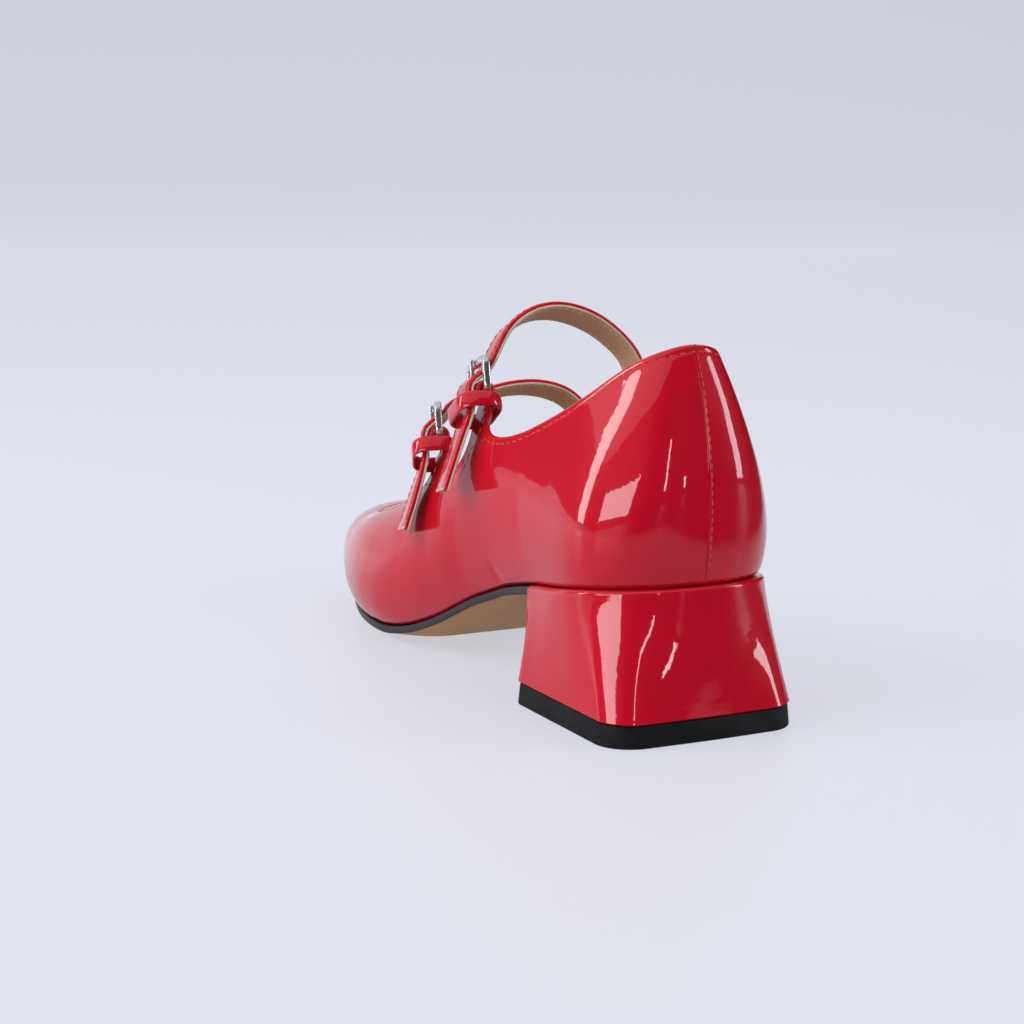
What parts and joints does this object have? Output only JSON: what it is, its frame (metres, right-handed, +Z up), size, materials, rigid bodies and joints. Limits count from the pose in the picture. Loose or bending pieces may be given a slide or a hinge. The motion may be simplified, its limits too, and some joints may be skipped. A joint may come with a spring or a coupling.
{
  "type": "mary jane shoe",
  "caption": "Left patent leather mary jane shoe with buckled instep straps and a flared block heel.",
  "frame": {"origin": "middle of the heel lift's tread on the floor", "axes": "+Z up from the floor, +Y towards the toe, +X towards the inner side of this left shoe"},
  "size_m": [0.0789, 0.2299, 0.1095],
  "materials": {
    "patent_leather": "glossy patent",
    "patent_cover": "glossy patent over a moulded heel",
    "sole_leather": "matt, dark edge",
    "lining_leather": "matt",
    "rubber": "matt",
    "chrome": "polished"
  },
  "bodies": {
    "root": {"upper": "patent_leather", "outsole": "sole_leather", "insole": "lining_leather", "heel_block": "patent_cover", "heel_lift": "rubber", "strap_rear": "patent_leather", "keeper_rear": "patent_leather", "buckle_frame_rear": "chrome", "buckle_prong_rear": "chrome", "strap_front": "patent_leather", "keeper_front": "patent_leather", "buckle_frame_front": "chrome", "buckle_prong_front": "chrome"}
  },
  "joints": []
}
